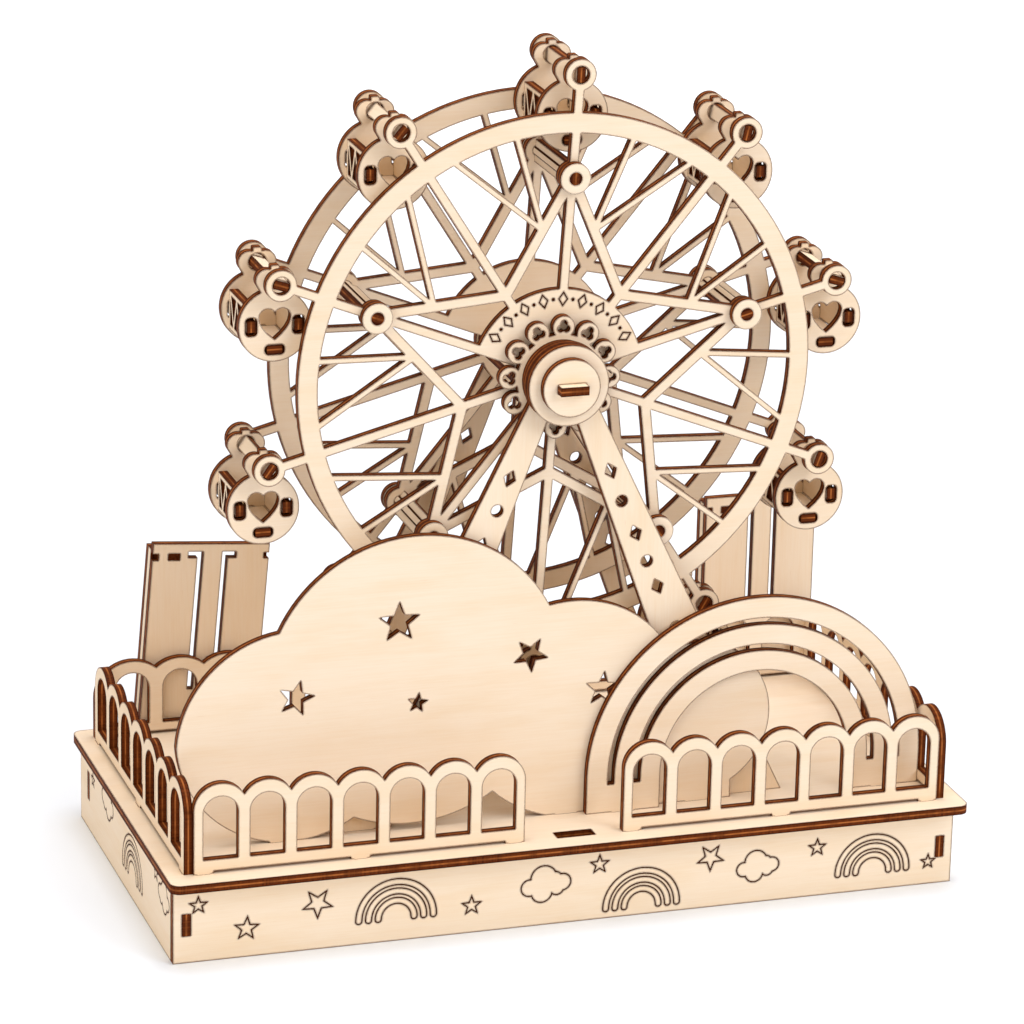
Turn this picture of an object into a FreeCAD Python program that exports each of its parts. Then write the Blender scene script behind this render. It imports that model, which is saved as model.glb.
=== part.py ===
"""Hand-cranked ferris wheel toy, cut from 3 mm plywood. +Z is up, -Y is the front.

The origin is on the table, midway between the toy's sides and between its front and back.
"""
import FreeCAD
import Part
import math
import os

V = FreeCAD.Vector

# Plywood and fits
sheet = 3.0
fit = 0.02                    # gap each side of a tab in its slot
running = 0.06                # radial gap of a joint that turns
endPlay = 0.3                 # side gap beside a piece that turns

# Base: a deck on four walls, with a rib against each side wall
deckHalf = 137.7
deckFront = -72.75
deckBack = 69.75
deckTop = 30.5
deckCorner = 3.5
wallTop = deckTop - sheet
wallInset = 2.35              # from the deck's edge to a side wall
sideOuter = deckHalf - wallInset
sideInner = sideOuter - sheet
ribInner = sideInner - sheet
baseFront = deckFront + 8.15
sideBack = deckBack - 3.65
backWall = deckBack - 16.7
ribTab = (18.1, 7.6)          # drop below the wall's top, and height, of the rib tab in the front wall
backTab = (16.5, 10.0)        # the same for the back wall's tab in a side wall
gateSlot = (-5.5, 7.65)
gateSlotDeep = 5.0

# Fences
frontFence = deckFront + 7.7
sideFence = deckFront + 8.7
rearFence = deckBack - 9.4
fenceInset = 6.1              # from the deck's edge to a side fence
fenceOuter = deckHalf - fenceInset
fenceInner = fenceOuter - sheet
gateHalf = 17.0               # half of the gap in the front fence
footRise = 0.9                # recess under a fence, between its feet
footWidth = 6.6
footTab = 4.6
# Arches, rise and width of an end shoulder, dip between arches, post between windows, and
# heights above the deck of the arches, the sills and the windows
frontArcade = (7, 9.0, 4.51, 4.0, 30.9, 4.8, 26.4)
sideArcade = (7, 10.6, 4.4, 3.9, 29.5, 4.7, 25.5)
rearArcade = (15, 13.09, 3.11, 4.93, 27.3, 4.1, 22.9)

# Wheel
wheelZ = 180.4
wheelY = -16.65               # midway between the two wheel sheets
plateGap = 31.8
tilt = 3.2                    # degrees clockwise that the wheel has turned at rest
cars = 10
ties = 5
tipRadius = 99.5
tipStub = 12.3                # from the rim to the middle of a spoke's end disc
ringWidth = 6.7
ringOuter = tipRadius - tipStub
ringInner = ringOuter - ringWidth
nodeRadius = 33.0
tipDisc = 5.2
tipHole = 2.9                 # the round hole that an axle stands in
tieDisc = 5.15
tiePeg = 2.1
spokeWidth = 3.0
starWidth = 3.4
strutWidth = 1.9
strutStart = 0.45             # how far along a star edge its struts begin
strutAngles = (14.2, 30.0)
hubDisc = 15.0
panelRadius = 29.0
panelAngle = 71.4
axleWide = 4.9
axleTurns = (-88, -78, 18, -70, -60, -80, -30, -55, 18, -50)    # of each axle's wide side
tieBoard = 7.5
tieClear = 2.45               # between a tie board and the gondola that hangs over it
hubTenon = 9.5
hubBoardHalf = 15.0
rosetteRadius = 14.6
petalPlace = 17.0
petalRadius = 3.75
petals = 12
petalLeaf = 1.15              # radius of the three leaves of a petal's hole

# Distances from the wheel's middle plane, going outwards
plateInner = plateGap / 2
plateOuter = plateInner + sheet
washerOuter = plateOuter + sheet
frameInner = washerOuter + 0.3
frameOuter = frameInner + sheet
discInner = frameOuter + endPlay
cloudFront = wheelY - frameOuter - sheet
rainbowFront = cloudFront - sheet

# Hub and crank
hubHole = math.hypot(hubTenon, sheet) / 2 + running
hubRadius = 13.6
capRadius = 9.7
hubFrontEnd = 38.0
hubRearEnd = 37.1
armLength = 28.0
armWidth = 12.0
armHub = 8.0
armAngle = 150.0
pinRadius = 2.5
gripRadius = 7.0
gripRings = 7

# Frame legs, with heights from the wheel's axis: x, z and spread per mm of drop of the two edges
legOuter = (13.4, -11.8, 0.493)
legInner = (6.0, -16.2, 0.372)
legTop = -4.4
headRadius = 13.0
legTab = 14.0
legLean = 23.4
diamonds = ((17.3, -32.1), (26.6, -54.3), (34.8, -73.5))
rounds = ((21.4, -42.8), (30.8, -64.4))
legSlot = ((41.9, -88.5), (49.6, -106.4))

# Cloud and rainbow, with heights above the deck. The cloud is drawn from the middle of its big lobe
cloudX = -deckHalf + 88.1
cloudTopLobes = ((-40.0, 33.0, 39.8), (0.7, 50.9, 51.0), (54.2, 35.7, 39.3), (97.6, 29.5, 27.0))
cloudLowLobes = ((-41.0, 38.5, 38.8), (0.0, 51.3, 49.4), (57.8, 42.4, 43.9), (97.6, 29.5, 27.0))
cloudWaist = 35.9
cloudFlat = (47.6, 111.6)     # the part of the lower edge that stands flat on the deck
cloudStars = ((-5.2, 72.6, 7.2, 0.0), (-39.7, 49.5, 6.3, 14.0), (1.4, 44.2, 3.6, 8.0),
              (39.9, 57.4, 6.2, 176.0), (65.3, 43.1, 6.2, 5.0))
cloudTabs = (-44.4, 53.6, 99.6)
rainbowRise = 12.2            # from the deck to the middle of the arches
rainbowBands = (33.5, 40.5, 42.8, 49.7, 52.0, 59.3)
rainbowX = fenceInner - rainbowBands[5]
slotRise = 10.0
plainTab = 8.0

# Gondola, measured down from its axle
cheekDrop = 15.1
cheekRadius = 12.0
earLobe = 3.7                 # radius of the two lobes of an ear
earLobePlace = 2.7
earTop = 4.9                  # height and width of the square tip between the lobes
earTip = 2.9
earHole = math.hypot(axleWide, sheet) / 2 + running
carShift = 1.2                # the gondolas hang this far behind the wheel's middle plane
cheekInner = 9.5              # from the middle plane to a cheek's inner face
sidePlace = 7.8
sideHeight = 13.0
windowDepth = 0.9             # the zigzag windows are only burnt into the outside of a side
sideTab = 3.6
sideDrop = 15.2
floorTop = 21.6
floorWidth = 12.3
floorTab = 5.0
slotGap = 0.2
slotCorner = 1.4
sideSlotGap = 0.5             # room beside a side's tab in its slot
sideSlotEnd = 1.3             # room above and below a side's tab in its slot
floorSlotEnd = 0.8
tieRadius = tipRadius - cheekDrop - cheekRadius - tieBoard / 2 - tieClear

# Engraved outlines: along the wall, height, size and turn of each motif
lineWidth = 0.42
lineDepth = 0.3
starWaist = 0.42              # inner radius of a star as a share of its outer one
starFlank = 0.35              # distance of a star's edges from its middle, the same way
frontStars = ((-126.9, 19.7, 2.95, 0.0), (-110.8, 9.9, 4.07, 4.0), (-87.0, 16.1, 5.1, 180.0),
              (-34.6, 9.6, 3.3, 0.0), (9.5, 19.5, 3.25, 0.0), (48.5, 17.8, 4.7, 180.0),
              (86.5, 17.4, 3.06, 0.0), (126.9, 8.1, 2.56, 0.0))
frontRainbows = ((-60.35, 8.15, 13.75), (24.5, 3.3, 13.5), (106.7, 6.7, 13.4))
frontClouds = ((-9.15, 14.5, 1.0), (65.3, 12.95, 0.87))
sideStars = ((47.8, 20.6, 2.5, 0.0), (-42.0, 23.0, 3.0, 0.0))
sideRainbows = ((-9.3, 8.1, 14.2),)
sideClouds = ((26.0, 21.0, 0.95), (-52.6, 18.6, 0.85))
puffs = ((-5.5, -0.9, 2.95), (-0.65, 2.05, 4.5), (3.5, 2.15, 1.9), (5.8, 0.2, 2.95), (-1.3, -2.8, 3.6),
         (3.9, -1.8, 2.4))
bandWidth = 0.153             # of an engraved rainbow's band, as a share of its radius
bandPitch = 0.24
diamondHigh = 2.2
diamondWide = 1.45
diamondFlank = diamondHigh * diamondWide / math.hypot(diamondHigh, diamondWide)
borderRadius = 25.6
borderStep = 15.0
borderCount = 9
dotRadius = 0.55

# Rear towers
towerFront = rearFence + sheet
towerWidth = 41.2
towerHeight = 68.3
towerBack = 65.5              # height of the two posts at the back
towerPost = 4.5
towerLeft = -deckHalf + 22.2
towerRight = deckHalf - 5.9 - towerWidth
towerLean = 4.5
towerRoot = 8.0               # drawn below the deck, then trimmed
towerSlots = (15.5, 25.0)     # lower ends of the two long slots in a front sheet
towerTabs = (8.0, 33.0)
towerMark = (5.5, 9.7, towerHeight - 5.95, towerHeight - 3.55)    # a shallow burnt mark


def spot(r, angle, x=0.0, z=0.0):
    """The point at a radius and an angle clockwise from the top."""
    return x + r * math.sin(math.radians(angle)), z + r * math.cos(math.radians(angle))


def disc(r, x=0.0, z=0.0):
    return Part.Face(Part.Wire(Part.makeCircle(r, V(x, z, 0))))


def line(start, end):
    return Part.LineSegment(V(*start, 0), V(*end, 0)).toShape()


def arc(start, middle, end):
    return Part.Arc(V(*start, 0), V(*middle, 0), V(*end, 0)).toShape()


def area(points):
    """A face from its corners, given in either direction."""
    twist = sum(a[0] * b[1] - b[0] * a[1] for a, b in zip(points, points[1:] + points[:1]))
    if twist < 0:
        points = points[::-1]
    return Part.Face(Part.Wire([line(a, b) for a, b in zip(points, points[1:] + points[:1])]))


def box(x0, x1, z0, z1):
    return area([(x0, z0), (x1, z0), (x1, z1), (x0, z1)])


def rounded(x0, x1, z0, z1, r):
    return box(x0 + r, x1 - r, z0 + r, z1 - r).makeOffset2D(r)


def join(shapes):
    faces = [face for shape in shapes for face in shape.Faces]
    return faces[0].multiFuse(faces[1:]).removeSplitter()


def turned(face, angle, x=0.0, z=0.0):
    copy = face.copy()
    copy.rotate(V(x, z, 0), V(0, 0, 1), -angle)
    return copy


def moved(face, x, z):
    copy = face.copy()
    copy.translate(V(x, z, 0))
    return copy


def block(wide, high, x=0.0, z=0.0, angle=0.0):
    return turned(box(x - wide / 2, x + wide / 2, z - high / 2, z + high / 2), angle, x, z)


def bar(start, end, width):
    """A straight strip between two points."""
    length = math.dist(start, end)
    dx = (end[1] - start[1]) / length * width / 2
    dz = (start[0] - end[0]) / length * width / 2
    return area([(start[0] + dx, start[1] + dz), (end[0] + dx, end[1] + dz),
                 (end[0] - dx, end[1] - dz), (start[0] - dx, start[1] - dz)])


def star(x, z, r, angle):
    return area([spot(r if i % 2 == 0 else starWaist * r, angle + 36 * i, x, z) for i in range(10)])


def archway(x, width, low, top):
    """A window with a half-round top."""
    left, right, spring = x - width / 2, x + width / 2, top - width / 2
    return Part.Face(Part.Wire([
        line((left, spring), (left, low)),
        line((left, low), (right, low)),
        line((right, low), (right, spring)),
        arc((right, spring), (x, top), (left, spring)),
    ]))


def hoop(x, z, r0, r1, low):
    """A half-round band with straight legs down to a height."""
    return Part.Face(Part.Wire([
        line((x - r1, low), (x - r0, low)),
        line((x - r0, low), (x - r0, z)),
        arc((x - r0, z), (x, z + r0), (x + r0, z)),
        line((x + r0, z), (x + r0, low)),
        line((x + r0, low), (x + r1, low)),
        line((x + r1, low), (x + r1, z)),
        arc((x + r1, z), (x, z + r1), (x - r1, z)),
        line((x - r1, z), (x - r1, low)),
    ]))


def placed(solids, place):
    copies = [solid.copy() for solid in solids]
    for copy in copies:
        copy.Placement = place.multiply(copy.Placement)
    return copies


def stand(face, y, thick=sheet):
    """Upright sheets with their front face at y. The face is drawn in X and Z."""
    place = FreeCAD.Placement(V(0, y + thick, 0), FreeCAD.Rotation(V(1, 0, 0), 90))
    return placed(face.extrude(V(0, 0, thick)).Solids, place)


def across(face, x, thick=sheet):
    """Upright sheets with their left face at x. The face is drawn in Y and Z."""
    place = FreeCAD.Placement(V(x, 0, 0), FreeCAD.Rotation(V(1, 1, 1), 120))
    return placed(face.extrude(V(0, 0, thick)).Solids, place)


def lay(face, z, thick=sheet):
    """Flat sheets with their underside at z. The face is drawn in X and Y."""
    place = FreeCAD.Placement(V(0, 0, z), FreeCAD.Rotation())
    return placed(face.extrude(V(0, 0, thick)).Solids, place)


def save(name, solids):
    for solid in solids:
        assert solid.isValid(), name
    shape = solids[0] if len(solids) == 1 else Part.makeCompound(solids)
    shape.exportStep("parts/" + name + ".step")
    print(name, len(solids))


def feet(start, end, count):
    """Middles of the feet of a fence that runs from start to end."""
    step = (end - start - footWidth) / (count - 1)
    return [start + footWidth / 2 + step * i for i in range(count)]


def arcade(start, end, sizes, footMiddles):
    """A fence of round-topped windows, with a tab under each foot."""
    count, shoulder, dip, post, rise, sillRise, windowRise = sizes
    top = deckTop + rise
    pitch = (end - start - 2 * shoulder) / (count - 1)
    middles = [start + shoulder + pitch * i for i in range(count)]
    corners = [(start, top - shoulder)] + [(x + pitch / 2, top - dip) for x in middles[:-1]]
    corners.append((end, top - shoulder))
    edges = [line(corners[0], (start, deckTop)), line((start, deckTop), (end, deckTop)),
             line((end, deckTop), corners[-1])]
    edges += [arc(b, (x, top), a) for a, x, b in reversed(list(zip(corners, middles, corners[1:])))]
    holes = [archway(x, pitch - post, deckTop + sillRise, deckTop + windowRise) for x in middles]
    holes += [box(a + footWidth / 2, b - footWidth / 2, deckTop, deckTop + footRise)
              for a, b in zip(footMiddles, footMiddles[1:])]
    tabs = [box(x - footTab / 2, x + footTab / 2, wallTop, deckTop) for x in footMiddles]
    return join([Part.Face(Part.Wire(edges)).cut(holes)] + tabs)


def towerPosts():
    """The two posts at a tower's back, on the rail that joins them below the deck."""
    return join([box(0, towerPost, -towerRoot, towerBack), box(0, towerWidth, -towerRoot, sheet),
                 box(towerWidth - towerPost, towerWidth, -towerRoot, towerBack)])


def towerSheet():
    """A tower's front sheet, drawn from its lower left corner on the deck."""
    face = box(0, towerWidth, -towerRoot, towerHeight)
    high = towerHeight - 2.85
    holes = [box(15.9, 17.9, towerSlots[0], high), box(12.6, 15.9, high - 2.2, high),
             box(24.6, 26.5, towerSlots[1], high), box(26.5, 29.6, high - 2.2, high),
             box(22.0, 24.6, towerSlots[1], towerSlots[1] + 2.2), box(-sheet, 2.2, high - 3.2, high - 0.8),
             box(towerWidth - 1.9, towerWidth + sheet, high - 2.4, high - 0.4)]
    return face.cut(holes)


def towerStand(face, x, lean, low):
    """Set a tower sheet on its place, leaning, and trim it at a height."""
    leaning = moved(turned(face, lean), x, deckTop)
    return leaning.common(box(x - towerWidth, x + 2 * towerWidth, low, deckTop + 2 * towerHeight))


def starLine(x, z, r, angle):
    """The line around a star."""
    grow = lineWidth / 2 / starFlank
    return star(x, z, r + grow, angle).cut(star(x, z, r - grow, angle))


def cloudLine(x, z, size):
    grow = lineWidth / 2
    outer, inner = (join([disc(r * size + g, x + px * size, z + pz * size) for px, pz, r in puffs])
                    for g in (grow, -grow))
    return outer.cut(inner)


def band(x, z, r0, r1):
    """A half-round band with round ends."""
    middle = (r0 + r1) / 2
    ends = [disc((r1 - r0) / 2, x + side * middle, z) for side in (-1, 1)]
    return join([disc(r1, x, z).cut(disc(r0, x, z)).common(box(x - r1, x + r1, z, z + r1))] + ends)


def rainbowLine(x, z, r):
    grow = lineWidth / 2
    lines = []
    for i in range(3):
        r1 = r * (1 - bandPitch * i)
        r0 = r1 - r * bandWidth
        lines += band(x, z, r0 - grow, r1 + grow).cut(band(x, z, r0 + grow, r1 - grow)).Faces
    return lines


def motifs(stars, rainbows, clouds):
    faces = [face for values in stars for face in starLine(*values).Faces]
    faces += [face for values in rainbows for face in rainbowLine(*values)]
    faces += [face for values in clouds for face in cloudLine(*values).Faces]
    return Part.makeCompound(faces)


def border():
    """Diamonds and dots along the panel over the hub."""
    faces = []
    share = lineWidth / 2 / diamondFlank
    for i in range(borderCount):
        angle = borderStep * (i - (borderCount - 1) / 2)
        x, z = spot(borderRadius, angle)
        sizes = (1 + share, 1 - share)
        outer, inner = (area([(0, diamondHigh * k), (diamondWide * k, 0), (0, -diamondHigh * k),
                              (-diamondWide * k, 0)]) for k in sizes)
        faces += turned(moved(outer.cut(inner), x, z), angle, x, z).Faces
        if i > 0:
            faces.append(disc(dotRadius, *spot(borderRadius, angle - borderStep / 2)))
    return Part.makeCompound(faces)


os.makedirs("parts", exist_ok=True)
centre = (0.0, wheelZ)

# Base walls
frontWall = box(-sideOuter, sideOuter, 0, wallTop)
for side in (-1, 1):
    x = side * (ribInner + sheet / 2)
    z = wallTop - ribTab[0] + ribTab[1] / 2
    frontWall = frontWall.cut(block(sheet + 2 * fit, ribTab[1] + 2 * fit, x, z))
sideWall = box(baseFront + sheet, sideBack, 0, wallTop)
backMiddle = wallTop - backTab[0] + backTab[1] / 2
sideWall = sideWall.cut(block(sheet + 2 * fit, backTab[1] + 2 * fit, backWall + sheet / 2, backMiddle))
rib = join([box(baseFront + sheet, backWall, 0, wallTop),
            block(sheet, ribTab[1], baseFront + sheet / 2, wallTop - ribTab[0] + ribTab[1] / 2)])
rear = join([box(-sideInner, sideInner, 0, wallTop), block(2 * sideOuter, backTab[1], 0, backMiddle)])
frontMotifs = stand(motifs(frontStars, frontRainbows, frontClouds), baseFront, lineDepth)
sideMotifs = motifs(sideStars, sideRainbows, sideClouds)
save("wall_front", stand(frontWall, baseFront)[0].cut(frontMotifs).Solids)
save("wall_back", stand(rear, backWall))
save("wall_left", across(sideWall, -sideOuter)[0].cut(
    across(sideMotifs, -sideOuter, lineDepth)).Solids)
save("wall_right", across(sideWall, sideInner)[0].cut(
    across(sideMotifs, sideOuter - lineDepth, lineDepth)).Solids)
save("rib_left", across(rib, -sideInner))
save("rib_right", across(rib, ribInner))

# Fences
leftFeet = feet(-fenceInner, -gateHalf, 3)
rightFeet = feet(gateHalf, fenceInner, 3)
sideFeet = feet(sideFence, rearFence, 3)
rearFeet = feet(-fenceOuter, fenceOuter, 5)
leftFence = arcade(-fenceInner, -gateHalf, frontArcade, leftFeet)
rightFence = arcade(gateHalf, fenceInner, frontArcade, rightFeet)
endFence = arcade(sideFence, rearFence, sideArcade, sideFeet)
backFence = arcade(-fenceOuter, fenceOuter, rearArcade, rearFeet)
save("fence_front_left", stand(leftFence, frontFence))
save("fence_front_right", stand(rightFence, frontFence))
save("fence_left", across(endFence, -fenceOuter))
save("fence_right", across(endFence, fenceInner))
save("fence_rear", stand(backFence, rearFence))

# Cloud and rainbow
beyond = 2 * deckHalf
cloudTop = join([disc(r, x, z) for x, z, r in cloudTopLobes]).common(
    box(-beyond, beyond, cloudWaist, beyond))
cloudLow = join([disc(r, x, z) for x, z, r in cloudLowLobes] + [box(*cloudFlat, 0, cloudWaist)])
cloudLow = cloudLow.common(box(-beyond, beyond, 0, cloudWaist))
cloud = join([cloudTop, cloudLow] + [block(plainTab, 2 * sheet, x, 0) for x in cloudTabs])
cloud = moved(cloud.cut([star(*values) for values in cloudStars]), cloudX, deckTop)
save("cloud", stand(cloud, cloudFront))

rainbowTabs = [rainbowX + side * (rainbowBands[0] + rainbowBands[5]) / 2 for side in (-1, 1)]
rainbowZ = deckTop + rainbowRise
slotLow = deckTop + slotRise
rainbow = hoop(rainbowX, rainbowZ, rainbowBands[0], rainbowBands[5], deckTop)
rainbow = rainbow.cut([hoop(rainbowX, rainbowZ, rainbowBands[1], rainbowBands[2], slotLow),
                       hoop(rainbowX, rainbowZ, rainbowBands[3], rainbowBands[4], slotLow)])
rainbow = join([rainbow] + [block(plainTab, sheet, x, deckTop - sheet / 2) for x in rainbowTabs])
save("rainbow", stand(rainbow, rainbowFront))


# Frames
def legEdge(edge, z):
    return edge[0] + (edge[1] - z) * edge[2]


legFoot = deckTop - wheelZ
legMiddle = (legEdge(legOuter, legFoot) + legEdge(legInner, legFoot)) / 2
legs = []
holes = [disc(hubHole)]
for side in (-1, 1):
    outline = [(legEdge(legOuter, legTop), legTop), (legEdge(legOuter, legFoot), legFoot),
               (legEdge(legInner, legFoot), legFoot), (0, 0), (0, headRadius / 2)]
    legs.append(area([(side * x, z) for x, z in outline]))
    legs.append(block(legTab, sheet, side * legMiddle, legFoot - sheet / 2))
    for x, z in diamonds:
        rhomb = area([(0, 2.9), (2.1, 0), (0, -2.9), (-2.1, 0)])
        holes.append(moved(turned(rhomb, side * -legLean), side * x, z))
    holes += [disc(2.0, side * x, z) for x, z in rounds]
    ends = [(side * x, z) for x, z in legSlot]
    holes.append(join([bar(*ends, 4.2), disc(2.1, *ends[0]), disc(2.1, *ends[1])]))
frame = moved(join([disc(headRadius)] + legs).cut(holes), *centre)
save("frame_front", stand(frame, wheelY - frameOuter))
save("frame_rear", stand(frame, wheelY + frameInner))

# Wheel sheets
tieAngles = [tilt + 360 / ties * i for i in range(ties)]
tipAngles = [tilt + 360 / cars * i for i in range(cars)]
hubSlot = block(hubTenon + 2 * fit, sheet + 2 * fit, *centre)
wheel = [disc(ringOuter).cut(disc(ringInner)), disc(hubDisc)]
sector = area([(0, 0), spot(3 * panelRadius, -panelAngle), spot(2 * panelRadius, -30),
               spot(2 * panelRadius, 30), spot(3 * panelRadius, panelAngle)])
wheel.append(disc(panelRadius).common(sector))
for i in range(cars):
    wheel.append(bar(spot(hubDisc - 2, 36 * i), spot(tipRadius, 36 * i), spokeWidth))
    wheel.append(disc(tipDisc, *spot(tipRadius, 36 * i)))
for i in range(ties):
    knot = spot(tieRadius, 72 * i)
    wheel.append(disc(tieDisc - 0.3, *knot))
    for side in (-1, 1):
        node = spot(nodeRadius, 72 * i + 36 * side)
        start = (knot[0] + (node[0] - knot[0]) * strutStart, knot[1] + (node[1] - knot[1]) * strutStart)
        wheel.append(bar(knot, node, starWidth))
        wheel.append(disc(starWidth / 2, *node))
        for angle in strutAngles:
            wheel.append(bar(start, spot(ringInner + 2, 72 * i + angle * side), strutWidth))
wheel = turned(moved(join(wheel), *centre), tilt, *centre)
pegHoles = [disc(tipHole, *spot(tipRadius, angle, *centre)) for angle in tipAngles]
pegHoles += [disc(tiePeg + fit, *spot(tieRadius, angle, *centre)) for angle in tieAngles]
wheel = wheel.cut(pegHoles + [hubSlot])
borderCut = stand(turned(moved(border(), *centre), tilt, *centre), wheelY - plateOuter, lineDepth)
save("wheel_front", stand(wheel, wheelY - plateOuter)[0].cut(borderCut).Solids)
save("wheel_rear", stand(wheel, wheelY + plateInner))

# Ties with their washers, and axles
boards = []
tieWashers = []
for angle in tieAngles:
    x, z = spot(tieRadius, angle, *centre)
    wide = stand(block(sheet, tieBoard, x, z, angle), wheelY - plateInner, plateGap)[0]
    peg = stand(disc(tiePeg, x, z), wheelY - washerOuter, 2 * washerOuter)[0]
    boards.append(wide.fuse(peg).removeSplitter().Solids[0])
    washer = disc(tieDisc, x, z).cut(disc(tiePeg + fit, x, z))
    tieWashers += stand(washer, wheelY - washerOuter) + stand(washer, wheelY + plateOuter)
axles = []
for angle, turn in zip(tipAngles, axleTurns):
    x, z = spot(tipRadius, angle, *centre)
    axles += stand(block(axleWide, sheet, x, z, turn), wheelY - plateOuter, 2 * plateOuter)
save("tie_boards", boards)
save("tie_washers", tieWashers)
save("gondola_axles", axles)

# Hub
hubBoard = join([box(-hubBoardHalf, hubBoardHalf, wheelY - plateInner, wheelY + plateInner),
                 box(-hubTenon / 2, hubTenon / 2, wheelY - hubFrontEnd, wheelY + hubRearEnd)])
save("hub_board", lay(hubBoard, wheelZ - sheet / 2))
bigDisc = disc(hubRadius, *centre).cut(hubSlot)
bigDiscs = []
for y in (-discInner - 2 * sheet, -discInner - sheet, plateOuter, discInner):
    bigDiscs += stand(bigDisc, wheelY + y)
save("hub_discs", bigDiscs)
cap = disc(capRadius, *centre).cut(hubSlot)
save("hub_caps", stand(cap, wheelY - discInner - 3 * sheet) + stand(cap, wheelY + discInner + 2 * sheet))
petalFaces = [disc(rosetteRadius)]
petalHoles = []
for i in range(petals):
    x, z = spot(petalPlace, 360 / petals * i)
    petalFaces.append(disc(petalRadius, x, z))
    petalHoles += join([disc(petalLeaf, *spot(petalLeaf, 360 / petals * i + 120 * k, x, z))
                        for k in range(3)]).Faces
rosette = turned(moved(join(petalFaces), *centre), tilt, *centre)
petalHoles = [turned(moved(hole, *centre), tilt, *centre) for hole in petalHoles]
rosette = rosette.cut(petalHoles + [hubSlot])
save("rosette", stand(rosette, wheelY - washerOuter))

# Crank
pin = spot(armLength, armAngle, *centre)
armY = wheelY + discInner + sheet
gripY = armY + sheet + endPlay
capY = gripY + gripRings * sheet + endPlay
arm = join([disc(armHub, *centre), disc(armWidth / 2, *pin), bar(centre, pin, armWidth)])
save("crank_arm", stand(arm.cut([hubSlot, disc(pinRadius + fit, *pin)]), armY))
save("crank_pin", stand(disc(pinRadius, *pin), armY, capY + sheet - armY))
save("crank_cap", stand(disc(gripRadius - 1, *pin).cut(disc(pinRadius + fit, *pin)), capY))
ring = disc(gripRadius, *pin).cut(disc(pinRadius + running, *pin))
save("crank_grip", [solid for i in range(gripRings) for solid in stand(ring, gripY + i * sheet)])

# Rear towers
for name, x, lean in (("left", towerLeft, towerLean), ("right", towerRight, 0.0)):
    front = towerStand(towerSheet(), x, lean, deckTop)
    back = towerStand(towerPosts(), x, lean, wallTop)
    front = join([front] + [block(plainTab, 2 * sheet, x + u, deckTop) for u in towerTabs])
    strips = [box(a, a + sheet, -towerRoot, towerBack) for a in (0, towerWidth - sheet)]
    depth = deckBack - towerFront - sheet
    sides = [stand(towerStand(strip, x, lean, deckTop), towerFront + sheet, depth)[0] for strip in strips]
    mark = stand(towerStand(box(*towerMark), x, lean, deckTop), towerFront, 0.8)[0]
    save("tower_" + name + "_sheets", [stand(front, towerFront)[0].cut(mark)] + stand(back, deckBack))
    save("tower_" + name + "_sides", sides)

# Deck
deckSlots = []


def deckSlot(x, y, wide, deep):
    deckSlots.append(box(x - wide / 2 - fit, x + wide / 2 + fit, y - deep / 2 - fit, y + deep / 2 + fit))


for x in leftFeet + rightFeet:
    deckSlot(x, frontFence + sheet / 2, footTab, sheet)
for x in rearFeet:
    deckSlot(x, rearFence + sheet / 2, footTab, sheet)
for x in (-fenceOuter + sheet / 2, fenceOuter - sheet / 2):
    for y in sideFeet:
        deckSlot(x, y, sheet, footTab)
for x in cloudTabs:
    deckSlot(cloudX + x, cloudFront + sheet / 2, plainTab, sheet)
for x in rainbowTabs:
    deckSlot(x, rainbowFront + sheet / 2, plainTab, sheet)
for x in (-legMiddle, legMiddle):
    deckSlot(x, wheelY - frameOuter + sheet / 2, legTab, sheet)
    deckSlot(x, wheelY + frameInner + sheet / 2, legTab, sheet)
for x in (towerLeft, towerRight):
    for u in towerTabs:
        deckSlot(x + u, towerFront + sheet / 2, plainTab, sheet)
deckSlots.append(box(*gateSlot, frontFence + 0.1, frontFence + 0.1 + gateSlotDeep))
deck = rounded(-deckHalf, deckHalf, deckFront, deckBack, deckCorner).cut(deckSlots)
save("deck", lay(deck, wallTop))

# Gondolas
ear = join([disc(earLobe, -earLobePlace), disc(earLobe, earLobePlace),
            rounded(-earTip / 2, earTip / 2, -4.0, earTop, 0.5),
            area([(-5.6, -2.3), (-4.6, -4.0), (4.6, -4.0), (5.6, -2.3)])])
cheek = join([disc(cheekRadius, 0, -cheekDrop), ear]).cut(disc(earHole))
heart = join([disc(2.8, -2.4, -12.3), disc(2.8, 2.4, -12.3),
              area([(-5.15, -12.8), (-4.75, -14.4), (-3.75, -16.1), (-2.2, -17.9), (0, -19.8),
                    (2.2, -17.9), (3.75, -16.1), (4.75, -14.4), (5.15, -12.8), (0, -11.0)])])
cheekSlots = [rounded(-floorTab / 2 - floorSlotEnd, floorTab / 2 + floorSlotEnd,
                      -floorTop - sheet - slotGap, -floorTop + slotGap, slotCorner)]
for x in (-sidePlace, sidePlace):
    cheekSlots.append(rounded(x - sheet / 2 - sideSlotGap, x + sheet / 2 + sideSlotGap,
                              -sideDrop - sideTab / 2 - sideSlotEnd,
                              -sideDrop + sideTab / 2 + sideSlotEnd, slotCorner))
cheek = cheek.cut(cheekSlots)
frontCheek = cheek.cut(heart)
cheekOuter = cheekInner + sheet
sideTop = -floorTop + sideHeight
window = box(-cheekInner + 1.6, cheekInner - 1.6, -floorTop + 1.6, sideTop - 1.6)
zigzag = [(3.8 * k, sideTop - 1.4 if k % 2 == 0 else 1.4 - floorTop) for k in range(-2, 3)]
window = window.cut([bar(a, b, 1.5) for a, b in zip(zigzag, zigzag[1:])])
panel = join([box(-cheekInner, cheekInner, -floorTop, sideTop),
              block(2 * cheekOuter, sideTab, 0, -sideDrop)])
floor = join([box(-floorWidth / 2, floorWidth / 2, -cheekInner, cheekInner),
              box(-floorTab / 2, floorTab / 2, -cheekOuter, cheekOuter)])
carY = wheelY + carShift
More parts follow.
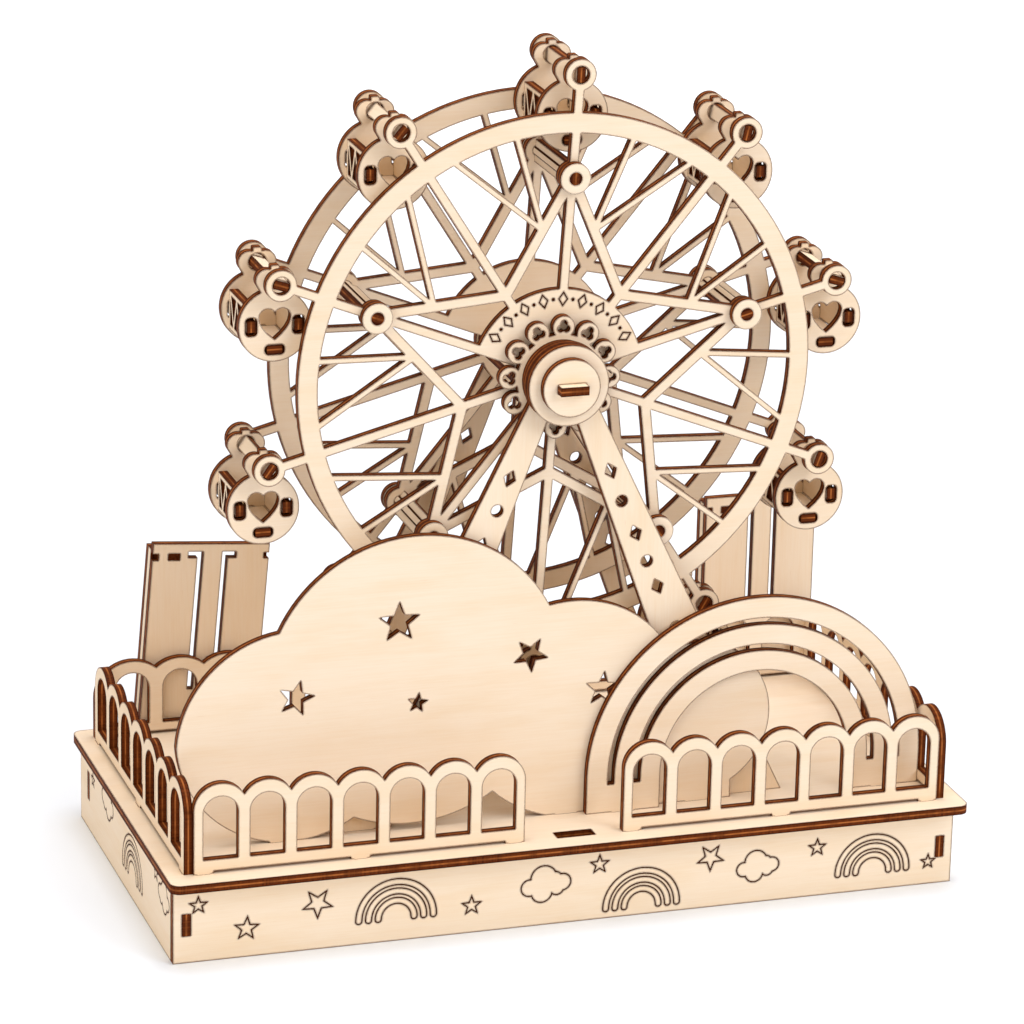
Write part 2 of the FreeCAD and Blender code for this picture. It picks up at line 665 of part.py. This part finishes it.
for i, angle in enumerate(tipAngles):
    x, z = spot(tipRadius, angle, *centre)
    save("gondola_cheeks_%02d" % (i + 1), stand(moved(frontCheek, x, z), carY - cheekOuter)
         + stand(moved(cheek, x, z), carY + cheekInner))
    sides = []
    for side in (-1, 1):
        middle = x + side * sidePlace
        outer = middle - sheet / 2 if side < 0 else middle + sheet / 2 - windowDepth
        pocket = Part.makeCompound(across(moved(window, carY, z), outer, windowDepth))
        sides += across(moved(panel, carY, z), middle - sheet / 2)[0].cut(pocket).Solids
    save("gondola_box_%02d" % (i + 1), sides + lay(moved(floor, x, carY), z - floorTop - sheet))
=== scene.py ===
import math
import random

import bpy
from mathutils import Matrix, Vector


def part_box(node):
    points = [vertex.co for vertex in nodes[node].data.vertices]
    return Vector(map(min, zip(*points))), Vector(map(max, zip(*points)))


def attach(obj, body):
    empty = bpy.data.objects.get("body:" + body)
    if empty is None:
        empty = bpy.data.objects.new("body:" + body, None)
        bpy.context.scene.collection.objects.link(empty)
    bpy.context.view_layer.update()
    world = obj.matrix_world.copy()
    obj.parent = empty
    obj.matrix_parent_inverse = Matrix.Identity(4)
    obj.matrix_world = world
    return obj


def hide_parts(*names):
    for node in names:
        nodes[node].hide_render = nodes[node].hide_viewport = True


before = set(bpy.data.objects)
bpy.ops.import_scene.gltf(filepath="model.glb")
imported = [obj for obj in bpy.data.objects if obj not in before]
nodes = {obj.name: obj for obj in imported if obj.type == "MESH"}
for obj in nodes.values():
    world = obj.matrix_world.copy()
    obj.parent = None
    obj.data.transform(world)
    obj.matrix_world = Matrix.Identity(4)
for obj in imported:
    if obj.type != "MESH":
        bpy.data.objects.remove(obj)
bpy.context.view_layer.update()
xAxis, yAxis, zAxis = (1, 0, 0), (0, 1, 0), (0, 0, 1)
print("frame loaded:", len(nodes), "nodes")


def feed(tree, sockets, values):
    for key, value in values.items():
        if isinstance(value, bpy.types.NodeSocket):
            tree.links.new(value, sockets[key])
        else:
            sockets[key].default_value = value


def put(tree, kind, inputs=None, **settings):
    made = tree.nodes.new(kind)
    for name, value in settings.items():
        setattr(made, name, value)
    feed(tree, made.inputs, inputs or {})
    return made


def calc(tree, operation, *values, clamp=False):
    inputs = dict(enumerate(values))
    return put(tree, "ShaderNodeMath", inputs, operation=operation, use_clamp=clamp).outputs[0]


def vector(tree, operation, *values):
    made = put(tree, "ShaderNodeVectorMath", dict(enumerate(values)), operation=operation)
    return made.outputs["Value" if operation in ("DOT_PRODUCT", "LENGTH") else "Vector"]


def stretch(tree, value, factor):
    made = put(tree, "ShaderNodeVectorMath", {0: value, "Scale": factor}, operation="SCALE")
    return made.outputs["Vector"]


def combine(tree, **parts):
    return put(tree, "ShaderNodeCombineXYZ", parts).outputs[0]


# a mix of two colours, or with kind FLOAT of two numbers
def blend(tree, factor, first, second, kind="RGBA"):
    inputA, inputB, result = {"RGBA": (6, 7, 2), "FLOAT": (2, 3, 0)}[kind]
    inputs = {0: factor}
    for slot, value in ((inputA, first), (inputB, second)):
        plain = kind == "FLOAT" or isinstance(value, bpy.types.NodeSocket)
        inputs[slot] = value if plain else (*value, 1.0)
    return put(tree, "ShaderNodeMix", inputs, data_type=kind).outputs[result]


def ramp(tree, value, low, high):
    inputs = {"Value": value, "From Min": low, "From Max": high}
    return put(tree, "ShaderNodeMapRange", inputs, interpolation_type="SMOOTHSTEP").outputs[0]


def noise(tree, where, scale, detail, rough):
    inputs = {"Vector": where, "Scale": scale, "Detail": detail, "Roughness": rough}
    return put(tree, "ShaderNodeTexNoise", inputs).outputs["Fac"]


def newGroup(name, inputs, outputs):
    tree = bpy.data.node_groups.new(name, "ShaderNodeTree")
    for side, sockets in (("INPUT", inputs), ("OUTPUT", outputs)):
        for label, kind in sockets.items():
            tree.interface.new_socket(label, in_out=side, socket_type="NodeSocket" + kind)
    return tree, tree.nodes.new("NodeGroupInput").outputs, tree.nodes.new("NodeGroupOutput").inputs


def useGroup(tree, group, inputs):
    return put(tree, "ShaderNodeGroup", inputs, node_tree=group).outputs


ply = {
    "sheet": 0.003,
    "faceStart": 0.45,         # from a sheet's middle, in sheets
    "pale": (0.92, 0.785, 0.622),
    "deep": (0.85, 0.65, 0.425),
    "fleck": (0.66, 0.43, 0.24),
    "scorch": (0.1, 0.026, 0.006),
    "char": (0.032, 0.005, 0.001),
    "brown": (0.14, 0.03, 0.005),
    "core": (0.46, 0.145, 0.035),
    "faceRough": 0.62,
    "edgeRough": 0.55,
    "gloss": 0.05,
    "bump": {"Strength": 0.35, "Distance": 0.00012},
    "faceRelief": 0.5,         # how deep the veneer's relief is beside the edge's
    "stickTone": 0.1,
}


# where a point lies across its sheet, and whether it is on the sheet's face: Start is where a
# sheet begins along Axis, from Middle; Mirrored is 1 for a pair of sheets on both sides of it,
# and Engraved is 1 where the floor of a shallow cut is burnt like an edge
def makeSheetPlace():
    tree, given, out = newGroup(
        "sheetPlace",
        {"Position": "Vector", "Normal": "Vector", "Axis": "Vector", "Middle": "Float",
         "Start": "Float", "Mirrored": "Float", "Engraved": "Float"},
        {"Across": "Float", "Face": "Float"})
    squareOn = 0.7
    along = vector(tree, "DOT_PRODUCT", given["Position"], given["Axis"])
    away = calc(tree, "SUBTRACT", along, given["Middle"])
    folded = blend(tree, given["Mirrored"], away, calc(tree, "ABSOLUTE", away), "FLOAT")
    sheets = calc(tree, "DIVIDE", calc(tree, "SUBTRACT", folded, given["Start"]), ply["sheet"])
    across = calc(tree, "FRACT", sheets)
    facing = calc(tree, "ABSOLUTE", vector(tree, "DOT_PRODUCT", given["Normal"], given["Axis"]))
    flat = calc(tree, "GREATER_THAN", facing, squareOn)
    fromMiddle = calc(tree, "ABSOLUTE", calc(tree, "SUBTRACT", across, 0.5))
    atFace = calc(tree, "GREATER_THAN", fromMiddle, ply["faceStart"])
    kept = calc(tree, "MAXIMUM", atFace, calc(tree, "SUBTRACT", 1.0, given["Engraved"]))
    feed(tree, out, {"Across": across, "Face": calc(tree, "MULTIPLY", flat, kept)})
    return tree


# the way that an angle points, clockwise from straight up
def wayAt(tree, angle):
    return combine(tree, X=calc(tree, "SINE", angle), Z=calc(tree, "COSINE", angle))


# the same for loose sticks on a circle round the hub, each turned about its own length
def makeStickPlace(name, sticks):
    tree, given, out = newGroup(
        name, {"Position": "Vector", "Normal": "Vector", "Hub": "Vector", "Tilt": "Float"},
        {"Across": "Float", "Face": "Float"})
    squareOn = 0.9
    count = len(sticks["turns"])
    step = 2 * math.pi / count
    fromHub = vector(tree, "SUBTRACT", given["Position"], given["Hub"])
    local = put(tree, "ShaderNodeSeparateXYZ", {0: fromHub}).outputs
    angle = calc(tree, "SUBTRACT", calc(tree, "ARCTAN2", local["X"], local["Z"]), given["Tilt"])
    index = calc(tree, "ROUND", calc(tree, "DIVIDE", angle, step))
    own = calc(tree, "ADD", calc(tree, "MULTIPLY", index, step), given["Tilt"])
    offset = vector(tree, "SUBTRACT", fromHub, stretch(tree, wayAt(tree, own), sticks["circle"]))
    index = calc(tree, "FLOORED_MODULO", index, count)
    turn = 0.0
    for number, degrees in enumerate(sticks["turns"]):
        mine = calc(tree, "COMPARE", index, number, 0.5)
        turn = calc(tree, "ADD", turn, calc(tree, "MULTIPLY", mine, math.radians(degrees)))
    flat = wayAt(tree, turn)
    aside = vector(tree, "DOT_PRODUCT", offset, flat)
    facing = calc(tree, "ABSOLUTE", vector(tree, "DOT_PRODUCT", given["Normal"], flat))
    faceFrom = ply["sheet"] * ply["faceStart"]
    atFace = calc(tree, "GREATER_THAN", calc(tree, "ABSOLUTE", aside), faceFrom)
    feed(tree, out, {
        "Across": calc(tree, "ADD", calc(tree, "DIVIDE", aside, ply["sheet"]), 0.5),
        "Face": calc(tree, "MULTIPLY", atFace, calc(tree, "GREATER_THAN", facing, squareOn))})
    return tree


# each pattern's squeeze across the grain, its noise, the range that shows and how strongly
veneer = {
    "fibres": {"squeeze": 26.0, "noise": (70.0, 4.0, 0.6), "range": (0.3, 0.75), "share": 0.24},
    "figure": {"squeeze": 5.0, "noise": (28.0, 3.0, 0.5), "range": (0.4, 0.75), "share": 0.3},
    "blotch": {"squeeze": 1.0, "noise": (22.0, 2.0, 0.55), "range": (0.35, 0.8), "share": 0.22},
    "pores": {"squeeze": 26.0, "noise": (161.5, 2.0, 0.55), "range": (0.7, 0.78), "share": 0.28},
    "poreDepth": 0.8,
}


# pale veneer: long fibres, a broad figure, blotches and a few brown pores along the grain
def makePlyFace():
    tree, given, out = newGroup(
        "plyFace",
        {"Position": "Vector", "Grain": "Vector", "Tone": "Float", "Seed": "Float"},
        {"Color": "Color", "Height": "Float"})
    shift = combine(tree, X=given["Seed"], Y=given["Seed"], Z=given["Seed"])
    moved = vector(tree, "ADD", given["Position"], shift)
    along = vector(tree, "DOT_PRODUCT", moved, given["Grain"])
    lengthwise = stretch(tree, given["Grain"], along)
    crosswise = vector(tree, "SUBTRACT", moved, lengthwise)
    raw, shown = {}, {}
    for label in ("fibres", "figure", "blotch", "pores"):
        pattern = veneer[label]
        where = vector(tree, "ADD", stretch(tree, crosswise, pattern["squeeze"]), lengthwise)
        raw[label] = noise(tree, where, *pattern["noise"])
        shown[label] = ramp(tree, raw[label], *pattern["range"])
    share = given["Tone"]
    for label in ("fibres", "figure", "blotch"):
        added = calc(tree, "MULTIPLY", shown[label], veneer[label]["share"])
        share = calc(tree, "ADD", share, added)
    color = blend(tree, share, ply["pale"], ply["deep"])
    specks = calc(tree, "MULTIPLY", shown["pores"], veneer["pores"]["share"])
    dips = calc(tree, "MULTIPLY", shown["pores"], veneer["poreDepth"])
    feed(tree, out, {"Color": blend(tree, specks, color, ply["fleck"]),
                     "Height": calc(tree, "SUBTRACT", raw["fibres"], dips)})
    return tree


edge = {
    "beam": (1500.0, 2.0, 0.6),      # noise of the lines that the beam leaves
    "beamRange": (0.25, 0.8),
    "patch": (190.0, 3.0, 0.6),      # noise of paler and darker stretches
    "patchRange": (0.3, 0.7),
    "patchShare": 0.5,
    "wander": 0.16,                  # how far the middle ply strays, in sheets
    "core": (0.02, 0.15),            # where the middle ply fades out, in sheets from the middle
    "coreRange": (0.35, 0.7),
    "coreLeast": 0.25,
    "coreRelief": 0.6,
    "rim": (0.3, 0.46),              # where the dark rim fades in
    "rimShare": 0.85,
}


# a laser-cut edge: three plies, dark at the faces, with fine lines left by the beam
def makeBurntEdge():
    tree, given, out = newGroup(
        "burntEdge",
        {"Position": "Vector", "Axis": "Vector", "Across": "Float"},
        {"Color": "Color", "Height": "Float", "Roughness": "Float"})
    along = vector(tree, "DOT_PRODUCT", given["Position"], given["Axis"])
    flat = vector(tree, "SUBTRACT", given["Position"], stretch(tree, given["Axis"], along))
    beam = noise(tree, flat, *edge["beam"])
    patch = noise(tree, given["Position"], *edge["patch"])
    fromMiddle = calc(tree, "ABSOLUTE", calc(tree, "SUBTRACT", given["Across"], 0.5))
    stray = calc(tree, "MULTIPLY", calc(tree, "SUBTRACT", patch, 0.5), edge["wander"])
    outside = ramp(tree, calc(tree, "ADD", fromMiddle, stray), *edge["core"])
    core = calc(tree, "SUBTRACT", 1.0, outside)
    brown = blend(tree, ramp(tree, beam, *edge["beamRange"]), ply["brown"], ply["char"])
    paler = calc(tree, "MULTIPLY", ramp(tree, patch, *edge["patchRange"]), edge["patchShare"])
    brown = blend(tree, paler, brown, ply["brown"])
    strength = calc(tree, "ADD", edge["coreLeast"], ramp(tree, patch, *edge["coreRange"]))
    strength = calc(tree, "MULTIPLY", core, strength, clamp=True)
    color = blend(tree, strength, brown, ply["core"])
    rim = calc(tree, "MULTIPLY", ramp(tree, fromMiddle, *edge["rim"]), edge["rimShare"])
    raised = calc(tree, "MULTIPLY", core, edge["coreRelief"])
    feed(tree, out, {
        "Color": blend(tree, rim, color, ply["char"]),
        "Height": calc(tree, "ADD", beam, raised),
        "Roughness": blend(tree, patch, ply["edgeRough"], ply["faceRough"], "FLOAT")})
    return tree


# how far each mask reaches from a cut, the range of the turned normal that shows, and its share
halo = {
    "Line": {"reach": 0.001, "range": (0.015, 0.07), "share": 0.92},
    "Margin": {"reach": 0.0015, "range": (0.002, 0.3), "share": 0.3},
    "uneven": (130.0, 2.0, 0.55),
    "unevenRange": (0.35, 0.75),
    "samples": 6,
}


# how near a point is to a cut: a thin scorched line and a soft tan margin
def makeCutHalo():
    tree, given, out = newGroup("cutHalo", {"Normal": "Vector", "Position": "Vector"},
                                {"Line": "Float", "Margin": "Float"})
    masks = {}
    for label in ("Line", "Margin"):
        reach = {"Radius": halo[label]["reach"]}
        bent = put(tree, "ShaderNodeBevel", reach, samples=halo["samples"]).outputs[0]
        turned = calc(tree, "SUBTRACT", 1.0, vector(tree, "DOT_PRODUCT", bent, given["Normal"]))
        masks[label] = ramp(tree, turned, *halo[label]["range"])
    uneven = noise(tree, given["Position"], *halo["uneven"])
    patches = ramp(tree, uneven, *halo["unevenRange"])
    feed(tree, out, {"Line": masks["Line"],
                     "Margin": calc(tree, "MULTIPLY", masks["Margin"], patches)})
    return tree


sheetPlace = makeSheetPlace()
plyFace = makePlyFace()
burntEdge = makeBurntEdge()
cutHalo = makeCutHalo()


def newMaterial(name):
    material = bpy.data.materials.new(name)
    material.use_nodes = True
    material.node_tree.nodes.clear()
    return material, material.node_tree


# the veneer, the burnt edge and the halo between them, on one Principled shader
def finishPly(tree, across, face, axis, grain, tone, seed):
    place = put(tree, "ShaderNodeTexCoord").outputs["Object"]
    normal = put(tree, "ShaderNodeNewGeometry").outputs["Normal"]
    top = useGroup(tree, plyFace, {"Position": place, "Grain": grain, "Tone": tone, "Seed": seed})
    side = useGroup(tree, burntEdge, {"Position": place, "Axis": axis, "Across": across})
    near = useGroup(tree, cutHalo, {"Normal": normal, "Position": place})
    color = top["Color"]
    for label, tint in (("Margin", ply["fleck"]), ("Line", ply["scorch"])):
        share = calc(tree, "MULTIPLY", near[label], halo[label]["share"])
        color = blend(tree, share, color, tint)
    color = blend(tree, face, side["Color"], color)
    relief = calc(tree, "MULTIPLY", top["Height"], ply["faceRelief"])
    height = blend(tree, face, side["Height"], relief, "FLOAT")
    rough = blend(tree, face, side["Roughness"], ply["faceRough"], "FLOAT")
    bump = put(tree, "ShaderNodeBump", {"Height": height, **ply["bump"]}).outputs[0]
    shader = put(tree, "ShaderNodeBsdfPrincipled",
                 {"Base Color": color, "Roughness": rough, "Normal": bump,
                  "Specular IOR Level": ply["gloss"]})
    put(tree, "ShaderNodeOutputMaterial", {"Surface": shader.outputs[0]})


def placeGiven(tree):
    coords = put(tree, "ShaderNodeTexCoord").outputs
    return {"Position": coords["Object"], "Normal": coords["Normal"]}


def plyMaterial(name, axis, start, grain, tone, seed, middle=0.0, mirrored=0.0, engraved=0.0):
    material, tree = newMaterial(name + "Ply")
    place = useGroup(tree, sheetPlace, dict(
        placeGiven(tree), Axis=axis, Middle=middle, Start=start, Mirrored=mirrored,
        Engraved=engraved))
    finishPly(tree, place["Across"], place["Face"], axis, grain, tone, seed)
    return material


# angles in degrees, clockwise: the wheel's from upright, and a stick's from lying flat
wheel = {"cars": 10, "ties": 5, "tilt": 3.2}
axles = {
    "circle": 0.0995,
    "turns": (-88, -78, 18, -70, -60, -80, -30, -55, 18, -50),
}
ties = {
    "circle": 0.0662,
    "turns": tuple(wheel["tilt"] + 90 + 360 / wheel["ties"] * number
                   for number in range(wheel["ties"])),
}
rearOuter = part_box("wheel_rear")[1].y
wheelY = (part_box("wheel_front")[0].y + rearOuter) / 2
plateReach = rearOuter - wheelY
hubLow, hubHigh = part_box("hub_board")
hub = (0.0, wheelY, (hubLow.z + hubHigh.z) / 2)


def stickMaterial(name, sticks, tone, seed):
    material, tree = newMaterial(name + "Ply")
    place = useGroup(tree, makeStickPlace(name + "Place", sticks), dict(
        placeGiven(tree), Hub=hub, Tilt=math.radians(wheel["tilt"])))
    finishPly(tree, place["Across"], place["Face"], yAxis, yAxis, tone, seed)
    return material


# a gondola's box: a side at each end of its width, and a floor between them
def cabinMaterial(name, tone, seed):
    low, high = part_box(name)
    middle = (low.x + high.x) / 2
    start = (high.x - low.x) / 2 - ply["sheet"]
    slack = 0.0001
    material, tree = newMaterial(name + "Ply")
    given = dict(placeGiven(tree), Engraved=1.0)
    sides = useGroup(tree, sheetPlace,
                     dict(given, Axis=xAxis, Middle=middle, Start=start, Mirrored=1.0))
    floor = useGroup(tree, sheetPlace,
                     dict(given, Axis=zAxis, Middle=low.z, Start=0.0, Mirrored=0.0))
    x = put(tree, "ShaderNodeSeparateXYZ", {0: given["Position"]}).outputs["X"]
    aside = calc(tree, "ABSOLUTE", calc(tree, "SUBTRACT", x, middle))
    inside = calc(tree, "LESS_THAN", aside, start - slack)
    across = blend(tree, inside, sides["Across"], floor["Across"], "FLOAT")
    face = blend(tree, inside, sides["Face"], floor["Face"], "FLOAT")
    finishPly(tree, across, face, xAxis, yAxis, tone, seed)
    return material


def dress(name, material):
    mesh = nodes[name].data
    if mesh.materials:
        for index in range(len(mesh.materials)):
            mesh.materials[index] = material
    else:
        mesh.materials.append(material)


spread = {
    "start": 7,
    "tone": (-0.05, 0.16),     # how much deeper than pale a sheet's veneer is
    "seed": (0.0, 4.0),        # where in the pattern a sheet is cut from
}
dice = random.Random(spread["start"])


def anyTone():
    return dice.uniform(*spread["tone"])


def anySeed():
    return dice.uniform(*spread["seed"])


# sheets that start at the low end of their node along one axis
def dressSheet(name, axis, grain, tone, seed, engraved=0.0):
    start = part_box(name)[0][axis.index(1)]
    dress(name, plyMaterial(name, axis, start, grain, tone, seed, engraved=engraved))


# sheets on both sides of a middle plane, counted in from the outermost
def dressPair(name, middle, grain, tone, seed, engraved=0.0):
    low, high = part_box(name)
    start = max(middle - low.y, high.y - middle) - ply["sheet"]
    dress(name, plyMaterial(name, yAxis, start, grain, tone, seed, middle, 1.0, engraved))


def middleY(name):
    low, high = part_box(name)
    return (low.y + high.y) / 2


for name in ("wall_back", "fence_front_left", "fence_front_right", "fence_rear", "cloud", "rainbow",
             "crank_arm", "crank_cap", "crank_grip"):
    dressSheet(name, yAxis, xAxis, anyTone(), anySeed())
for name in ("rib_left", "rib_right", "fence_left", "fence_right"):
    dressSheet(name, xAxis, yAxis, anyTone(), anySeed())
for name in ("tower_left_sides", "tower_right_sides"):
    dressSheet(name, xAxis, zAxis, anyTone(), anySeed())
for name in ("tower_left_sheets", "tower_right_sheets"):
    dressPair(name, middleY(name), zAxis, anyTone(), anySeed(), 1.0)
# fixed veneer tones: the deck's, set paler than the rest, is painted light from above
for name, axis, grain, tone, engraved in (("wall_front", yAxis, xAxis, 0.04, 1.0),
                                          ("wall_left", xAxis, yAxis, 0.06, 1.0),
                                          ("wall_right", xAxis, yAxis, 0.06, 1.0),
                                          ("deck", zAxis, xAxis, -0.04, 0.0),
                                          ("hub_board", zAxis, yAxis, ply["stickTone"], 0.0)):
    dressSheet(name, axis, grain, tone, anySeed(), engraved)
for name, grain, engraved in (("wheel_front", xAxis, 1.0), ("wheel_rear", xAxis, 0.0),
                              ("rosette", xAxis, 0.0), ("frame_front", zAxis, 0.0),
                              ("frame_rear", zAxis, 0.0), ("hub_discs", xAxis, 0.0),
                              ("hub_caps", xAxis, 0.0)):
    dressPair(name, wheelY, grain, anyTone(), anySeed(), engraved)
dress("gondola_axles", stickMaterial("axle", axles, ply["stickTone"], anySeed()))
dress("tie_boards", stickMaterial("tie", ties, ply["stickTone"], anySeed()))
for number in range(1, wheel["cars"] + 1):
    cheeks = "gondola_cheeks_%02d" % number
    cabin = "gondola_box_%02d" % number
    dressPair(cheeks, middleY(cheeks), xAxis, anyTone(), anySeed())
    dress(cabin, cabinMaterial(cabin, anyTone(), anySeed()))
dressSheet("crank_pin", yAxis, yAxis, ply["stickTone"], anySeed())
print("plywood on the frame's nodes")

washers = {
    "node": "tie_washers",
    "outer": 0.00515,
    "hole": 0.00212,
    "easing": 0.00012,         # how far the edges are rounded over
    "easingSteps": 2,
    "round": 56,               # points on a circle
}


# washers on a circle round the hub, one set at each end of the pegs
def washerTree():
    tree = bpy.data.node_groups.new("washerCircle", "GeometryNodeTree")
    tree.interface.new_socket("Geometry", in_out="INPUT", socket_type="NodeSocketGeometry")
    for label, kind in (("Count", "Int"), ("Circle", "Float"), ("Outer", "Float"),
                        ("Hole", "Float"), ("Sheet", "Float"), ("Easing", "Float"),
                        ("Reach", "Float"), ("Tilt", "Float"), ("Hub", "Vector"),
                        ("Finish", "Material")):
        tree.interface.new_socket(label, in_out="INPUT", socket_type="NodeSocket" + kind)
    tree.interface.new_socket("Geometry", in_out="OUTPUT", socket_type="NodeSocketGeometry")
    given = tree.nodes.new("NodeGroupInput").outputs
    upright = (math.pi / 2, 0, 0)
    width = calc(tree, "SUBTRACT", given["Outer"], given["Hole"])
    middle = calc(tree, "DIVIDE", calc(tree, "ADD", given["Outer"], given["Hole"]), 2.0)
    path = put(tree, "GeometryNodeCurvePrimitiveCircle",
               {"Resolution": washers["round"], "Radius": middle})
    profile = put(tree, "GeometryNodeCurvePrimitiveQuadrilateral",
                  {"Width": width, "Height": given["Sheet"]})
    eased = put(tree, "GeometryNodeFilletCurve",
                {"Curve": profile.outputs[0], "Count": washers["easingSteps"],
                 "Radius": given["Easing"]}, mode="POLY")
    ring = put(tree, "GeometryNodeCurveToMesh",
               {"Curve": path.outputs[0], "Profile Curve": eased.outputs[0]})
    points = put(tree, "GeometryNodeMeshCircle",
                 {"Vertices": given["Count"], "Radius": given["Circle"]})
    stood = put(tree, "GeometryNodeTransform", {"Geometry": points.outputs[0], "Rotation": upright})
    turned = put(tree, "GeometryNodeTransform",
                 {"Geometry": stood.outputs[0], "Rotation": combine(tree, Y=given["Tilt"])})
    joined = tree.nodes.new("GeometryNodeJoinGeometry")
    for way in (-1.0, 1.0):
        shift = combine(tree, Y=calc(tree, "MULTIPLY", given["Reach"], way))
        there = put(tree, "GeometryNodeTransform", {
            "Geometry": turned.outputs[0], "Translation": vector(tree, "ADD", given["Hub"], shift)})
        tree.links.new(there.outputs[0], joined.inputs[0])
    rings = put(tree, "GeometryNodeInstanceOnPoints", {
        "Points": joined.outputs[0], "Instance": ring.outputs[0], "Rotation": upright})
    real = put(tree, "GeometryNodeRealizeInstances", {0: rings.outputs[0]})
    coated = put(tree, "GeometryNodeSetMaterial",
                 {"Geometry": real.outputs[0], "Material": given["Finish"]})
    put(tree, "NodeGroupOutput", {0: coated.outputs[0]})
    return tree


# an object with that tree's result as its plain mesh
def grow(name, tree, values):
    holder = bpy.data.objects.new(name + "Seed", bpy.data.meshes.new(name + "Seed"))
    bpy.context.scene.collection.objects.link(holder)
    modifier = holder.modifiers.new("grow", "NODES")
    modifier.node_group = tree
    for item in tree.interface.items_tree:
        if item.in_out == "INPUT" and item.name in values:
            modifier[item.identifier] = values[item.name]
    bpy.context.view_layer.update()
    evaluated = holder.evaluated_get(bpy.context.evaluated_depsgraph_get())
    mesh = bpy.data.meshes.new_from_object(evaluated)
    mesh.name = name
    piece = bpy.data.objects.new(name, mesh)
    bpy.context.scene.collection.objects.link(piece)
    bpy.data.objects.remove(holder)
    return piece


ringSet = grow("tieWashers", washerTree(), {
    "Count": wheel["ties"], "Circle": ties["circle"], "Outer": washers["outer"],
    "Hole": washers["hole"], "Sheet": ply["sheet"], "Easing": washers["easing"],
    "Reach": plateReach + ply["sheet"] / 2, "Tilt": math.radians(wheel["tilt"] - 90), "Hub": hub,
    "Finish": plyMaterial("washer", yAxis, plateReach, xAxis, 0.0, anySeed(), wheelY, 1.0)})
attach(ringSet, "wheel")
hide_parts(washers["node"])
print("tie washers:", len(ringSet.data.polygons), "faces")

ground = {
    "half": 4.0,
    "drop": 0.0001,            # below what stands on it, so that no two faces share a plane
    "tone": (0.83, 0.89, 0.96),
    "rough": 0.9,
    "gloss": 0.1,
    "lift": (0.06, 0.6),       # glow for the camera, by the part and far away
    "fade": (0.4, 1.5),        # how far away it changes from the one to the other
}


def makeFloor():
    half, down = ground["half"], -ground["drop"]
    mesh = bpy.data.meshes.new("floor")
    mesh.from_pydata([(-half, -half, down), (half, -half, down), (half, half, down),
                      (-half, half, down)], [], [(0, 1, 2, 3)])
    floor = bpy.data.objects.new("floor", mesh)
    bpy.context.scene.collection.objects.link(floor)
    material, tree = newMaterial("floorWhite")
    shader = put(tree, "ShaderNodeBsdfPrincipled",
                 {"Base Color": (*ground["tone"], 1), "Roughness": ground["rough"],
                  "Specular IOR Level": ground["gloss"]})
    ray = put(tree, "ShaderNodeLightPath").outputs["Is Camera Ray"]
    away = vector(tree, "LENGTH", put(tree, "ShaderNodeTexCoord").outputs["Object"])
    strength = blend(tree, ramp(tree, away, *ground["fade"]), *ground["lift"], "FLOAT")
    lift = put(tree, "ShaderNodeEmission", {"Strength": calc(tree, "MULTIPLY", ray, strength)})
    both = put(tree, "ShaderNodeAddShader", {0: shader.outputs[0], 1: lift.outputs[0]})
    put(tree, "ShaderNodeOutputMaterial", {"Surface": both.outputs[0]})
    mesh.materials.append(material)


light = {
    "world": 0.66,
    "shade": (1.0, 0.84, 0.67),
    "lamp": (0.95, 1.0, 1.1),
    "aim": (0, 0, 0.12),
    # place, size and watts
    "key": ((1.1, -1.5, 1.4), 1.3, 17.5),
    "fill": ((-1.7, -1.1, 1.0), 1.6, 8.0),
    "top": ((0.1, 0.1, 2.0), 1.4, 21.5),
}


# plain white for the camera, and a warmer, dimmer sky for the part
def makeWorld():
    world = bpy.data.worlds.new("studio")
    bpy.context.scene.world = world
    world.use_nodes = True
    tree = world.node_tree
    tree.nodes.clear()
    ray = put(tree, "ShaderNodeLightPath").outputs["Is Camera Ray"]
    strength = blend(tree, ray, light["world"], 1.0, "FLOAT")
    hue = blend(tree, ray, light["shade"], (1, 1, 1))
    glow = put(tree, "ShaderNodeBackground", {"Color": hue, "Strength": strength})
    put(tree, "ShaderNodeOutputWorld", {"Surface": glow.outputs[0]})


def makeLamp(name, place, size, watts):
    lamp = bpy.data.lights.new(name, "AREA")
    lamp.shape = "DISK"
    lamp.size = size
    lamp.energy = watts
    lamp.color = light["lamp"]
    holder = bpy.data.objects.new(name, lamp)
    bpy.context.scene.collection.objects.link(holder)
    holder.location = place
    aim = Vector(light["aim"]) - Vector(place)
    holder.rotation_euler = aim.to_track_quat("-Z", "Y").to_euler()


view = {
    "place": (-0.48766, -1.47625, 0.64412),
    "azimuth": -18.19,
    "elevation": 18.57,
    "roll": 1.34,
    "focal": 4900.71,          # in pixels
    "pixels": 1024,            # across the image
    "sensor": 36.0,            # in millimetres
    "farthest": 50.0,
}


def makeCamera():
    azimuth, elevation, roll = (math.radians(view[key]) for key in ("azimuth", "elevation", "roll"))
    right = Vector((math.cos(azimuth), math.sin(azimuth), 0))
    ahead = Vector((-math.sin(azimuth), math.cos(azimuth), 0))
    back = math.sin(elevation) * Vector(zAxis) - math.cos(elevation) * ahead
    up = back.cross(right)
    turnedRight = math.cos(roll) * right + math.sin(roll) * up
    turnedUp = -math.sin(roll) * right + math.cos(roll) * up
    data = bpy.data.cameras.new("camera")
    data.sensor_width = view["sensor"]
    data.lens = view["focal"] / view["pixels"] * view["sensor"]
    data.clip_end = view["farthest"]
    camera = bpy.data.objects.new("camera", data)
    bpy.context.scene.collection.objects.link(camera)
    turn = Matrix((turnedRight, turnedUp, back)).transposed().to_4x4()
    camera.matrix_world = Matrix.Translation(view["place"]) @ turn
    bpy.context.scene.camera = camera


makeFloor()
makeWorld()
for name in ("key", "fill", "top"):
    makeLamp(name, *light[name])
makeCamera()
bpy.context.scene.view_settings.view_transform = "Standard"
print("stage, lights and camera")
